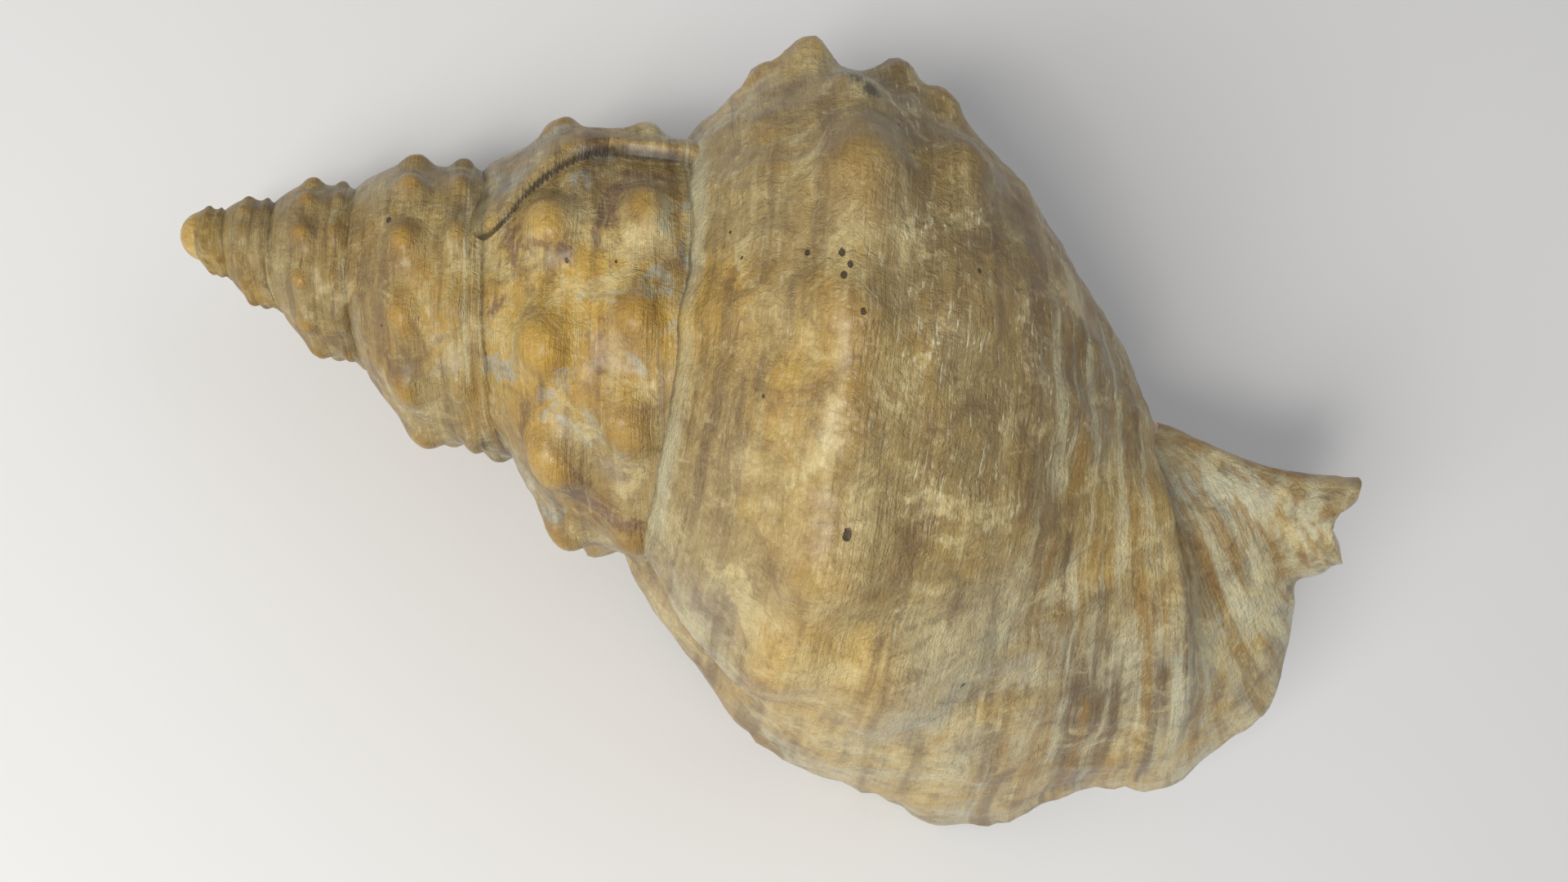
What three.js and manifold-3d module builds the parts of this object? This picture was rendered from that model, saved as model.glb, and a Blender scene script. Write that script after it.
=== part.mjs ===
// A large knobbed triton-type sea snail shell, lying on its aperture.
// One grown piece: the outer whorls, the knobs, the old lip ridge, the flared lip and the canal are one solid.
// Built about its coiling axis first (X, apex at 0), then laid down in its resting pose.
import * as THREE from 'three';
import { mergeVertices } from 'three/addons/utils/BufferGeometryUtils.js';
import Module from 'manifold-3d';

const wasm = await Module();
wasm.setup();

// How the coil grows. Angles are in degrees of growth; the side facing +Y is 0 and the lip ends at 200.
const GROWTH_PER_TURN = 1.6;
const CONE_APEX = -8.8;
const FIRST_SUTURE = 99.4;
const APEX_ANGLE = -1860;
const LIP_ANGLE = 200;
const AXIS_GAP = 0.2;
const OUTLINE_STEPS = 21;

// How full the whorls are for their size: growth angle, share.
const GIRTH = [[-1860, 1], [-1080, 1], [-900, 1.03], [-700, 0.97], [-550, 1.09], [-345, 0.93],
  [-210, 1.01], [-60, 1]];

// Outline of one spire whorl at growth angle 0: distance from the cone's apex, distance from the axis.
const SPIRE_CURVE = [[96.5, 33.5], [100.5, 39], [107, 45.5], [116, 52], [128, 56], [140, 57], [150, 58],
  [158, 58], [166, 54], [176, 42], [186, 24], [195, 9], [201.6, 1.3]];
// The last whorl's outline, more rounded towards the canal.
const WHORL_CURVE = [[98.2, 32.8], [102.7, 40.8], [109.8, 48.5], [120.3, 53], [132.8, 53.3], [144.8, 49.8],
  [156, 42.3], [165.6, 32.8], [174.4, 22.8], [182.4, 14.2], [189.6, 8.6], [196, 4.5], [201.6, 1.3]];
// The same outline where the canal has formed: distance from the worn apex, distance from the axis.
const CANAL_CURVE = [[89.4, 32.8], [93.9, 40.8], [101, 48.5], [111.5, 53], [124, 53.3], [136, 49.8],
  [147.2, 42.3], [156.8, 32.8], [166, 22.8], [178, 10.5], [190, 3.8], [212, 5.3], [234, 8.8]];
// The scalloped edge of the flared outer lip: share of the outline, place, distance from the axis.
const LIP_CURVE = [[0, 83, 45], [0.025, 86, 52.5], [0.045, 89.4, 52], [0.07, 94.3, 49.5], [0.105, 99.7, 57.8],
  [0.15, 108, 66], [0.21, 119.4, 78.4], [0.25, 126, 83.5], [0.31, 139.4, 90.2], [0.4, 157, 95],
  [0.47, 172.3, 98.6], [0.55, 186.2, 91.9], [0.585, 191.5, 84], [0.64, 202, 75.8], [0.7, 215, 69],
  [0.76, 224.3, 54.1], [0.82, 230.4, 42.5], [0.87, 230.7, 29], [0.91, 227.7, 17.3], [0.94, 228.5, 14],
  [0.965, 232.3, 11.8], [1, 234, 7.4]];
// Where the last half whorl starts on the spire: growth angle, distance from the worn apex.
const LAST_SUTURE = [[0, 90.6], [30, 93.4], [60, 96], [90, 97.9], [120, 98.6], [150, 97.8], [175, 96.5],
  [188, 92.5], [200, 83], [225, 80]];

// The canal bends away from the coiling axis.
const CANAL_BEND = 12;
const CANAL_BEND_FROM = 168;
const CANAL_END = 234;

// Knobs: two rows round every early whorl, every 30 degrees; sizes are for growth angle 0.
const KNOB_SPACING = 30;
const KNOB_START = -371;
const SHOULDER_ROW = { along: 0.32, height: 6, width: 8.5, reach: 0.055, shift: 0 };
const LOWER_ROW = { along: 0.49, height: 4.4, width: 8, reach: 0.045, shift: -7 };
// The knobs after those are irregular: growth angle, place along the outline, height, width, reach.
const LAST_KNOBS = [[-341, 0.27, 6.2, 8.5, 0.05], [-289, 0.255, 6.2, 8.5, 0.05], [-256, 0.255, 6.6, 9, 0.05],
  [-226, 0.265, 6.2, 8.5, 0.05], [-190, 0.255, 6.2, 9, 0.05], [-158, 0.26, 5.8, 9, 0.05],
  [-124, 0.21, 5.5, 9, 0.05], [-90, 0.2, 3, 10, 0.05], [-55, 0.19, 2.5, 9, 0.05],
  [-338, 0.45, 3.6, 7.5, 0.045], [-297, 0.435, 4.8, 8, 0.045], [-268, 0.42, 4.8, 8, 0.045],
  [-241, 0.405, 4.8, 8, 0.045], [-208, 0.4, 4.6, 8, 0.045], [-174, 0.4, 4.4, 8, 0.045],
  [-134, 0.42, 4.4, 9, 0.05], [-100, 0.42, 3, 10, 0.05], [-64, 0.42, 3, 10, 0.05],
  [-22, 0.21, 4, 9, 0.045], [12, 0.165, 3.2, 8, 0.03], [17, 0.225, 6.6, 9, 0.036], [38, 0.27, 3, 8, 0.04],
  [64, 0.275, 4.9, 12, 0.042], [84, 0.275, 3.6, 7.5, 0.04], [99, 0.28, 2.6, 8, 0.04],
  [124, 0.285, 4.6, 11, 0.055], [144, 0.27, 5, 9.5, 0.05], [156, 0.235, 2.4, 9, 0.05],
  [-28, 0.4, 4, 8, 0.04], [22, 0.34, 4, 7, 0.03], [27, 0.395, 3.8, 7, 0.028], [53, 0.4, 3.8, 9, 0.036],
  [78, 0.4, 2.2, 10, 0.045], [150, 0.38, 5, 14, 0.065], [120, 0.42, 1.2, 15, 0.07]];
// An old lip crosses the whorl above the last one as a ridge with a steep edge.
const OLD_LIP = { angle: -323, lean: 34, height: 4.6, rise: 34, fall: 4 };
// The last shoulder ends as a low ridge, with a groove between it and the flared lip.
const SHOULDER_RIDGE = { angle: 150, height: 1.4, width: 7 };
const LIP_GROOVE = { angle: 177, depth: 9, width: 15 };
const FLARE_POWER = 2.2;

// Wall and inside.
const WALL = 3;
const LIP_WALL = 1.8;
const GLAZE = 0.8;
const STEEPEST = 4.5;
// Above the neck the inside is whorl; past it the canal is a groove, open from this growth angle on.
const NECK = 188;
const CANAL_OPENS = 96;
const CAVITY_FROM = -555;
const COLUMELLA = [[0, 1.2], [60, 3.5], [120, 7], [160, 8], [186, 6], [200, 3.2]];

// Resting pose: the roll onto the lip, and the tip that brings the canal or the spire down.
const ROLL = 16.35;
const TIP = -9.26;

const COLOR = 0xa88a5a;

function smooth(from, to, x) {
  const u = THREE.MathUtils.clamp((x - from) / (to - from), 0, 1);
  return u * u * (3 - 2 * u);
}

function table(rows, x) {
  let i = 0;
  while (i < rows.length - 2 && x > rows[i + 1][0]) i += 1;
  const u = THREE.MathUtils.clamp((x - rows[i][0]) / (rows[i + 1][0] - rows[i][0]), 0, 1);
  return rows[i][1] * (1 - u) + rows[i + 1][1] * u;
}

function curveThrough(points) {
  const corners = points.map(([x, y]) => new THREE.Vector3(x, y, 0));
  return new THREE.CatmullRomCurve3(corners, false, 'catmullrom', 0.5);
}

const spireCurve = curveThrough(SPIRE_CURVE);
const whorlCurve = curveThrough(WHORL_CURVE);
const canalCurve = curveThrough(CANAL_CURVE);
const lipCurve = curveThrough(LIP_CURVE.map(([, place, radius]) => [place, radius]));
const lipSteps = LIP_CURVE.map(([along], i) => [along, i / (LIP_CURVE.length - 1)]);

function size(angle) {
  return GROWTH_PER_TURN ** (angle / 360);
}

function sutureAt(angle) {
  return angle < 0 ? FIRST_SUTURE * size(angle) + CONE_APEX : table(LAST_SUTURE, angle);
}

function bump(x, centre, width) {
  return Math.exp(-(((x - centre) / width) ** 2));
}

function knobHeight(angle, along) {
  let height = 0;
  const nearest = Math.round((angle - KNOB_START) / KNOB_SPACING);
  for (let k = nearest - 2; k <= nearest + 2; k += 1) {
    const centre = KNOB_START + KNOB_SPACING * k;
    if (centre > KNOB_START) continue;
    for (const row of [SHOULDER_ROW, LOWER_ROW]) {
      height += row.height * bump(angle, centre + row.shift, row.width) * bump(along, row.along, row.reach);
    }
  }
  for (const [centre, place, tall, width, reach] of LAST_KNOBS) {
    height += tall * bump(angle, centre, width) * bump(along, place, reach);
  }
  return height;
}

function oldLipHeight(angle, along) {
  const edge = OLD_LIP.angle + OLD_LIP.lean * smooth(0.4, 0.08, along);
  const rise = smooth(edge - OLD_LIP.rise, edge, angle);
  const fall = 1 - smooth(edge, edge + OLD_LIP.fall, angle);
  return OLD_LIP.height * rise * fall * smooth(0.75, 0.6, along);
}

// A point of the outer surface in the half plane at one growth angle: place along the axis, distance from it.
function outline(angle, along, withKnobs = true) {
  const grown = size(angle);
  const whorl = spireCurve.getPoint(along).lerp(whorlCurve.getPoint(along), smooth(-190, -30, angle));
  const canal = canalCurve.getPoint(along);
  const lip = lipCurve.getPoint(table(lipSteps, along));
  let place = sutureAt(angle) + grown * (whorl.x - FIRST_SUTURE);
  let radius = grown * whorl.y * table(GIRTH, angle);
  if (withKnobs) radius += grown * (knobHeight(angle, along) + oldLipHeight(angle, along));
  const canalShare = smooth(-90, -10, angle) * smooth(0.7, 0.82, along);
  place += (canal.x - place) * canalShare;
  radius += (canal.y - radius) * canalShare;
  place -= 6.5 * smooth(0.93, 1, along) * bump(angle, 105, 50);
  const flareFrom = 140 - 80 * smooth(0.3, 0.95, along);
  const flare = THREE.MathUtils.clamp((angle - flareFrom) / (LIP_ANGLE - flareFrom), 0, 1) ** FLARE_POWER;
  place += (lip.x - place) * flare;
  radius += (lip.y - radius) * flare;
  const ridge = SHOULDER_RIDGE.height * bump(angle, SHOULDER_RIDGE.angle, SHOULDER_RIDGE.width);
  const groove = LIP_GROOVE.depth * bump(angle, LIP_GROOVE.angle, LIP_GROOVE.width);
  radius += ridge * smooth(0.01, 0.05, along) * smooth(0.3, 0.2, along) - groove * smooth(0.32, 0.18, along);
  return [place, Math.max(radius, AXIS_GAP + 0.1)];
}

// The radius of a plain outline at a place along the axis.
function outerRadius(rows, place) {
  if (place <= rows[0][0]) return rows[0][1];
  return place < rows[rows.length - 1][0] ? table(rows, place) : rows[rows.length - 1][1];
}

function plainOutline(angle) {
  return Array.from({ length: 41 }, (_, i) => outline(angle, i / 40, false));
}

function columellaRadius(place) {
  return place > COLUMELLA[COLUMELLA.length - 1][0] ? AXIS_GAP : table(COLUMELLA, place);
}

function inSpace(place, radius, angle) {
  const turn = THREE.MathUtils.degToRad(angle);
  const bend = CANAL_BEND * smooth(CANAL_BEND_FROM, CANAL_END, place);
  return [place, radius * Math.cos(turn) - bend, radius * Math.sin(turn)];
}

// A solid swept through closed half-plane outlines that all have the same number of points.
function sweptSolid(sections) {
  const count = sections[0].length;
  const vertices = sections.flat(2);
  const faces = [];
  for (let i = 0; i < sections.length - 1; i += 1) {
    for (let j = 0; j < count; j += 1) {
      const a = i * count + j;
      const b = i * count + (j + 1) % count;
      faces.push(a, b + count, b, a, a + count, b + count);
    }
  }
  return { vertices, faces, count };
}

// Caps one end of a sweep with triangles wound the way the outline runs, or against it.
function addCap(solid, section, triangles, points, against) {
  const contour = points.map(([place, radius]) => new THREE.Vector2(place, radius));
  const base = section * solid.count;
  const way = Math.sign(THREE.ShapeUtils.area(contour));
  for (const [a, b, c] of triangles) {
    const same = Math.sign(THREE.ShapeUtils.area([contour[a], contour[b], contour[c]])) === way;
    if (same === against) solid.faces.push(base + a, base + c, base + b);
    else solid.faces.push(base + a, base + b, base + c);
  }
}

// The triangles across a closed outline, whatever its shape.
function fillOutline(points) {
  return THREE.ShapeUtils.triangulateShape(points.map(([x, y]) => new THREE.Vector2(x, y)), []);
}

// The triangles across an outline made of a roof and a floor with the same number of points.
function fillBetween(points) {
  const half = points.length / 2;
  return Array.from({ length: half - 1 }, (_, i) => {
    const under = points.length - 1 - i;
    return [[i, i + 1, under], [i + 1, under - 1, under]];
  }).flat();
}

function asManifold(vertices, faces) {
  const solid = new wasm.Manifold(new wasm.Mesh({
    numProp: 3,
    vertProperties: new Float32Array(vertices),
    triVerts: new Uint32Array(faces),
  }));
  if (solid.volume() < 0) throw new Error('a sweep is inside out');
  return solid;
}

function sweep(angles, outlineAt, fill) {
  const outlines = angles.map(outlineAt);
  const sections = outlines.map((points, i) => {
    return points.map(([place, radius]) => inSpace(place, radius, angles[i]));
  });
  const solid = sweptSolid(sections);
  const last = outlines[outlines.length - 1];
  addCap(solid, 0, fill(outlines[0]), outlines[0], false);
  addCap(solid, sections.length - 1, fill(last), last, true);
  return asManifold(solid.vertices, solid.faces);
}

function steps(from, to, step) {
  const count = Math.max(1, Math.round((to - from) / step));
  return Array.from({ length: count + 1 }, (_, i) => from + ((to - from) * i) / count);
}

// The filled outer body of a stretch of growth, closed along the axis. It starts one step early, inside the
// stretch before it.
function outerStretch(from, to, step, detail) {
  const angles = steps(from, to, step);
  angles.unshift(2 * angles[0] - angles[1]);
  return sweep(angles, (angle) => {
    const points = Array.from({ length: detail + 1 }, (_, i) => outline(angle, i / detail));
    return [[points[0][0], AXIS_GAP], ...points, [points[detail][0], AXIS_GAP]];
  }, fillOutline);
}

// The space inside a stretch of growth: under the outer wall, over the columella and the whorl before.
function innerStretch(from, to, step, detail) {
  return sweep(steps(from, to, step), (angle) => {
    const own = plainOutline(Math.min(angle, LIP_ANGLE));
    const before = [...plainOutline(angle - 360), [CANAL_END + 9, 0]];
    const wall = (WALL + (LIP_WALL - WALL) * smooth(120, LIP_ANGLE, angle)) * Math.min(1, size(angle) ** 0.7);
    const earlier = plainOutline(Math.min(angle, LIP_ANGLE) - 3);
    const floorAt = (place) => Math.max(columellaRadius(place), outerRadius(before, place) + GLAZE);
    const roofAt = (place) => {
      const radius = outerRadius(own, place);
      const slope = (outerRadius(own, place + 1) - outerRadius(own, place - 1)) / 2;
      const flare = (radius - outerRadius(earlier, place)) / (radius * THREE.MathUtils.degToRad(3) + 0.1);
      return radius - wall * Math.min(Math.hypot(1, slope, flare), STEEPEST);
    };
    const lastPlace = own[own.length - 1][0];
    const open = (place) => roofAt(Math.min(place, lastPlace - 0.1)) > floorAt(place) + 1;
    let end = angle > CANAL_OPENS ? lastPlace + 3 : Math.min(lastPlace, NECK) - wall;
    let start = own[0][0] + wall;
    while (!open(end) && end > start + 20) end -= 0.5;
    while (!open(start) && start < end - 15) start += 0.5;
    const roof = [];
    const floor = [];
    const pinch = smooth(CAVITY_FROM - 10, CAVITY_FROM + 120, angle);
    for (let i = 0; i <= detail; i += 1) {
      const place = start + (end - start) * (0.5 - 0.5 * Math.cos((Math.PI * i) / detail));
      const high = Math.max(roofAt(Math.min(place, lastPlace - 0.1)), AXIS_GAP + 0.8);
      const bottom = Math.min(floorAt(place), high - 0.6);
      const middle = (bottom + high) / 2;
      roof.push([place, middle + (high - middle) * pinch]);
      floor.push([place, middle + (Math.max(bottom, AXIS_GAP) - middle) * pinch]);
    }
    return [...roof, ...floor.reverse()];
  }, fillBetween);
}

function columella() {
  const points = COLUMELLA.map(([place, radius]) => new THREE.Vector2(radius, place));
  const bottom = new THREE.Vector2(0, points[0].y);
  const top = new THREE.Vector2(0, points[points.length - 1].y);
  const profile = [bottom, ...points, top];
  return latheSolid(profile, 14);
}

// A lathe about the coiling axis, bent with the canal.
function latheSolid(profile, sides) {
  const rings = profile.slice(1, -1);
  const vertices = [];
  const faces = [];
  for (const { x, y } of rings) {
    for (let j = 0; j < sides; j += 1) vertices.push(inSpace(y, x, (360 * j) / sides));
  }
  const first = vertices.push(inSpace(profile[0].y, 0, 0)) - 1;
  const last = vertices.push(inSpace(profile[profile.length - 1].y, 0, 0)) - 1;
  for (let j = 0; j < sides; j += 1) {
    const next = (j + 1) % sides;
    faces.push(first, next, j);
    for (let i = 0; i < rings.length - 1; i += 1) {
      const a = i * sides;
      faces.push(a + j, a + next, a + sides + next, a + j, a + sides + next, a + sides + j);
    }
    const a = (rings.length - 1) * sides;
    faces.push(last, a + j, a + next);
  }
  return asManifold(vertices.flat(), faces);
}

function wornApex() {
  const profile = Array.from({ length: 9 }, (_, i) => {
    const turn = (Math.PI * i) / 8;
    return new THREE.Vector2(4.9 * Math.sin(turn), 3.6 - 4.9 * Math.cos(turn));
  });
  return latheSolid(profile, 16);
}

function buildShell() {
  let body = columella().add(wornApex());
  const outerParts = [
    [APEX_ANGLE, -1440, 30], [-1440, -1080, 24], [-1080, -720, 15], [-720, -360, 12],
    [-360, 0, 9], [0, LIP_ANGLE, 7],
  ];
  for (const [from, to, step] of outerParts) {
    const halves = steps(from, to, 180);
    for (let i = 0; i < halves.length - 1; i += 1) {
      body = body.add(outerStretch(halves[i], halves[i + 1], step, OUTLINE_STEPS));
    }
  }
  const innerParts = [[CAVITY_FROM, -180, 15], [-180, 90, 15], [90, LIP_ANGLE + 9, 7.5]];
  for (const [from, to, step] of innerParts) {
    const halves = steps(from, to, 120);
    for (let i = 0; i < halves.length - 1; i += 1) {
      body = body.subtract(innerStretch(halves[i], halves[i + 1], step, 10));
    }
  }
  return body;
}

function geometryOf(solid) {
  const mesh = solid.getMesh();
  const geometry = new THREE.BufferGeometry();
  const positions = new Float32Array(mesh.numVert * 3);
  for (let i = 0; i < mesh.numVert; i += 1) {
    for (let k = 0; k < 3; k += 1) positions[3 * i + k] = mesh.vertProperties[mesh.numProp * i + k];
  }
  geometry.setAttribute('position', new THREE.BufferAttribute(positions, 3));
  geometry.setIndex(new THREE.BufferAttribute(new Uint32Array(mesh.triVerts), 1));
  return geometry;
}

// Joining leaves slivers where two stretches meet: points closer than a hundredth of a millimetre become one.
function withoutSlivers(solid) {
  const merged = mergeVertices(geometryOf(solid), 0.01);
  const index = merged.index.array;
  const faces = [];
  for (let i = 0; i < index.length; i += 3) {
    const [a, b, c] = [index[i], index[i + 1], index[i + 2]];
    if (a !== b && b !== c && c !== a) faces.push(a, b, c);
  }
  const pieces = asManifold(merged.attributes.position.array, faces).decompose();
  return pieces.reduce((largest, piece) => (piece.volume() > largest.volume() ? piece : largest));
}

const geometry = geometryOf(withoutSlivers(buildShell()));
geometry.rotateX(THREE.MathUtils.degToRad(ROLL));
geometry.rotateY(THREE.MathUtils.degToRad(TIP));
geometry.computeBoundingBox();
const box = geometry.boundingBox;
geometry.translate(-(box.min.x + box.max.x) / 2, -(box.min.y + box.max.y) / 2, -box.min.z);

const shell = new THREE.Mesh(geometry, new THREE.MeshStandardMaterial({
  color: COLOR,
  roughness: 0.45,
  metalness: 0,
}));
shell.name = 'shell';

const part = new THREE.Group();
part.add(shell);

export default part;
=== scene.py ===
import math
import bpy
import numpy as np
from mathutils import Matrix, Vector


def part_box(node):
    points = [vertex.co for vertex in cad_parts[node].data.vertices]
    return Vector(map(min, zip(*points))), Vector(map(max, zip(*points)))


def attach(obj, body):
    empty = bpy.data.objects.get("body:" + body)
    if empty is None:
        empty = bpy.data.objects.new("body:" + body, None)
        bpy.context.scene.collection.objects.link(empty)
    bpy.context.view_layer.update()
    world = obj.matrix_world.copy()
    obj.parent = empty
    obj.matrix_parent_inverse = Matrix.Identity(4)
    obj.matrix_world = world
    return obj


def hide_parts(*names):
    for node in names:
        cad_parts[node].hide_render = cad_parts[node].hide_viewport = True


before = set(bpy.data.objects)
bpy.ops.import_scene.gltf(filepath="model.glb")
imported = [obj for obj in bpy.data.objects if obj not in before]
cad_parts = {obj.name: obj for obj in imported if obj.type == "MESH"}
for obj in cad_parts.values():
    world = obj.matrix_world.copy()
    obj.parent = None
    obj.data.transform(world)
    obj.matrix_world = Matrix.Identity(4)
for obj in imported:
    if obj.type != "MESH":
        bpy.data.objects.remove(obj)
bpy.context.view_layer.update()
cadShell = np.array(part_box("shell"), float)
print("frame loaded, shell box", cadShell.round(4).tolist())

mm = 0.001
farOff = 99.0   # stands for "nowhere near" in the distances kept on the mesh

# how the shell coils: lengths in mm about the coiling axis, angles in degrees of growth
coil = {
    "growthPerTurn": 1.6,
    "girth": [(-1860, 1), (-1080, 1), (-900, 1.03), (-700, 0.97), (-550, 1.09), (-345, 0.93),
              (-210, 1.01), (-60, 1)],
    "coneApex": -8.8,
    "firstSuture": 99.4,
    "startAngle": -1860.0,
    "lipAngle": 200.0,
    "pocketAngle": -300.0,   # how deep the inside of the tube is modelled
    "canalBend": 12.0,
    "canalBendFrom": 168.0,
    "canalEnd": 234.0,
    "roll": 16.35,           # resting pose, as the solid rests
    "tip": -9.26,
    "wall": 3.0,
    "lipWall": 1.7,
    "wallThinsFrom": 110.0,
    "wallEasing": 0.7,       # power of the growth that the wall of a small whorl follows
    "leastRadius": 0.3,
}

# outlines in the half plane: place along the axis, distance from it
# the lip's points also say how far along the outline they fall
outlines = {
    "spire": [(96.5, 33.5), (100.5, 39), (107, 45.5), (116, 52), (128, 56), (140, 57), (150, 58),
              (158, 58), (166, 54), (176, 42), (186, 24), (195, 9), (201.6, 1.3)],
    "whorl": [(98.2, 32.8), (102.7, 40.8), (109.8, 48.5), (120.3, 53), (132.8, 53.3), (144.8, 49.8),
              (156, 42.3), (165.6, 32.8), (174.4, 22.8), (182.4, 14.2), (189.6, 8.6), (196, 4.5),
              (201.6, 1.3)],
    "canal": [(89.4, 32.8), (93.9, 40.8), (101, 48.5), (111.5, 53), (124, 53.3), (136, 49.8),
              (147.2, 42.3), (156.8, 32.8), (166, 22.8), (178, 10.5), (190, 3.8), (212, 5.3), (234, 8.8)],
    "lip": [(0, 83, 45), (0.025, 86, 52.5), (0.045, 89.4, 52), (0.07, 94.3, 49.5), (0.105, 99.7, 57.8),
            (0.15, 108, 66), (0.21, 119.4, 78.4), (0.25, 126, 83.5), (0.31, 139.4, 90.2), (0.40, 157, 95),
            (0.47, 172.3, 98.6), (0.55, 186.2, 91.9), (0.585, 191.5, 84), (0.64, 202, 75.8),
            (0.70, 215, 69), (0.76, 224.3, 54.1), (0.82, 230.4, 42.5), (0.87, 230.7, 29),
            (0.91, 227.7, 17.3), (0.94, 228.5, 14), (0.965, 232.3, 11.8), (1, 234, 7.4)],
    "lastSuture": [(0, 90.6), (30, 93.4), (60, 96), (90, 97.9), (120, 98.6), (150, 97.8), (175, 96.5),
                   (188, 92.5), (200, 83), (225, 80)],
}

# where one outline turns into the next: degrees of growth, and shares of the way along it
changes = {
    "spireToWhorl": (-190, -30),
    "canalGrows": (-90, -10),
    "canalAlong": (0.7, 0.82),
    "canalDip": {"depth": 6.5, "along": (0.93, 1), "angle": 105, "width": 50},
    "flare": {"start": 140, "lean": 80, "leanAlong": (0.3, 0.95), "easing": 2.2},
}

# knobs: angle, share along the outline, height, angular width, width along; the rows repeat on every whorl
knobs = {
    "rows": [(0, 0.32, 6.0, 8.5, 0.055), (-7, 0.49, 4.4, 8.0, 0.045)],
    "spacing": 30.0,
    "last": -371.0,
    "single": [(-341, 0.27, 6.2, 8.5, 0.05), (-289, 0.255, 6.8, 9.5, 0.058), (-256, 0.255, 7.2, 10, 0.058),
               (-226, 0.265, 7, 9.5, 0.06), (-190, 0.255, 6.2, 9, 0.05), (-158, 0.26, 5.8, 9, 0.05),
               (-124, 0.21, 5.5, 9, 0.05), (-90, 0.2, 3, 10, 0.05), (-55, 0.19, 2.5, 9, 0.05),
               (-338, 0.45, 3.6, 7.5, 0.045), (-297, 0.435, 6, 9, 0.052), (-268, 0.42, 5.6, 9, 0.05),
               (-241, 0.405, 5.8, 9, 0.052), (-208, 0.4, 4.6, 8, 0.045), (-174, 0.4, 4.4, 8, 0.045),
               (-134, 0.42, 4.4, 9, 0.05), (-100, 0.42, 3, 10, 0.05), (-64, 0.42, 3, 10, 0.05),
               (-22, 0.21, 4, 9, 0.045), (12, 0.165, 3.2, 8, 0.03), (17, 0.225, 6.6, 9, 0.036),
               (38, 0.27, 3, 8, 0.04), (62, 0.275, 6, 14, 0.05), (85, 0.275, 4.6, 8.5, 0.048),
               (101, 0.28, 3.6, 9, 0.05), (124, 0.285, 5.4, 12, 0.06), (144, 0.27, 5, 9.5, 0.05),
               (156, 0.235, 2.4, 9, 0.05), (-28, 0.4, 4, 8, 0.04), (22, 0.34, 4, 7, 0.03),
               (27, 0.395, 3.8, 7, 0.028), (53, 0.4, 3.8, 9, 0.036), (78, 0.4, 2.2, 10, 0.045),
               (150, 0.38, 5, 14, 0.065), (120, 0.42, 1.2, 15, 0.07)],
    "roundness": 0.65,       # how much of a knob has the steeper sides and the rounder crown
    "fullHeight": 6,         # the height that counts as a full knob in the colours
}

# ridges and grooves: angles of growth, heights in mm, and shares along between which each comes and goes
ridges = {
    "oldLip": {"angle": -323.0, "lean": 34.0, "leanAlong": (0.4, 0.08), "height": 5.0, "rise": 36.0,
               "fall": 2.0, "goes": (0.75, 0.6)},
    "shoulder": {"angle": 150.0, "height": 1.4, "width": 7.0, "comes": (0.01, 0.05), "goes": (0.3, 0.2)},
    "groove": {"angle": 177.0, "depth": 9.0, "width": 15.0, "goes": (0.32, 0.18)},
    "frill": {"height": 0.5, "waves": 140, "drift": 2, "driftWaves": 47, "from": 180,
              "comes": (0.2, 0.3), "goes": (0.97, 0.88)},
}

# how finely the surface is worked out: from one angle to another in so many rows
detail = {
    "rows": [(-1860, -1080, 90), (-1080, -720, 90), (-720, -360, 144), (-360, -270, 110), (-270, 200, 330)],
    "along": 110,
    "rim": 3,
}

# unevenness of the outer wall, in mm
relief = {"seed": 7, "coarse": 0.3, "coarseSize": 17.0, "fine": 0.13, "fineSize": 5.0, "waves": 24,
          "spread": (0.6, 1.5)}

# the parts turned about the axis: the pillar inside, and the worn ball at the apex
turnedParts = {
    "pillar": [(2, 1.0), (60, 3.5), (120, 7), (160, 8), (178, 6.6), (188, 4.6), (197, 3.0), (203, 1.2)],
    "pillarGrowth": -60.0,
    "pillarAlong": 0.9,
    "apexPlace": 3.6,
    "apexRadius": 4.9,
    "apexPoles": 0.12,
    "apexRings": 18,
    "apexGrowth": -1700.0,
    "apexAlong": 0.3,
    "sides": 32,
}


# 3u^2 - 2u^3 between two bounds, 0 before and 1 after
def smooth(start, end, x):
    u = np.clip((x - start) / (end - start), 0, 1)
    return u * u * (3 - 2 * u)


# e to the power of minus the squared distance from the centre over the width
def bump(x, centre, width):
    return np.exp(-((x - centre) / width) ** 2)


# Catmull-Rom curve through evenly numbered points, u from 0 to 1
def curveThrough(points, u):
    p = np.array(points, float)
    p = np.vstack([2 * p[0] - p[1], p, 2 * p[-1] - p[-2]])
    x = np.clip(u, 0, 1) * (len(p) - 3)
    i = np.minimum(x.astype(int), len(p) - 4)
    f = (x - i)[..., None]
    a, b, c, d = p[i], p[i + 1], p[i + 2], p[i + 3]
    square, cube = 2 * a - 5 * b + 4 * c - d, 3 * b - a - 3 * c + d
    return 0.5 * (2 * b + (c - a) * f + square * f ** 2 + cube * f ** 3)


# straight lines between the rows of a table of two columns
def readOff(table, x):
    table = np.array(table, float)
    return np.interp(x, table[:, 0], table[:, 1])


# growth per turn to the power of the turns grown
def grownBy(angle):
    return coil["growthPerTurn"] ** (angle / 360)


# the suture's place along the axis: a cone's spiral, then the last half whorl's own path
def sutureAt(angle):
    spiral = coil["firstSuture"] * grownBy(angle) + coil["coneApex"]
    return np.where(angle < 0, spiral, readOff(outlines["lastSuture"], angle))


# a knob's height from its bump, a mean of the bump and of its smoothstep
def crowned(tall, rise):
    fuller = knobs["roundness"]
    return tall * ((1 - fuller) * rise + fuller * rise * rise * (3 - 2 * rise))


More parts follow.
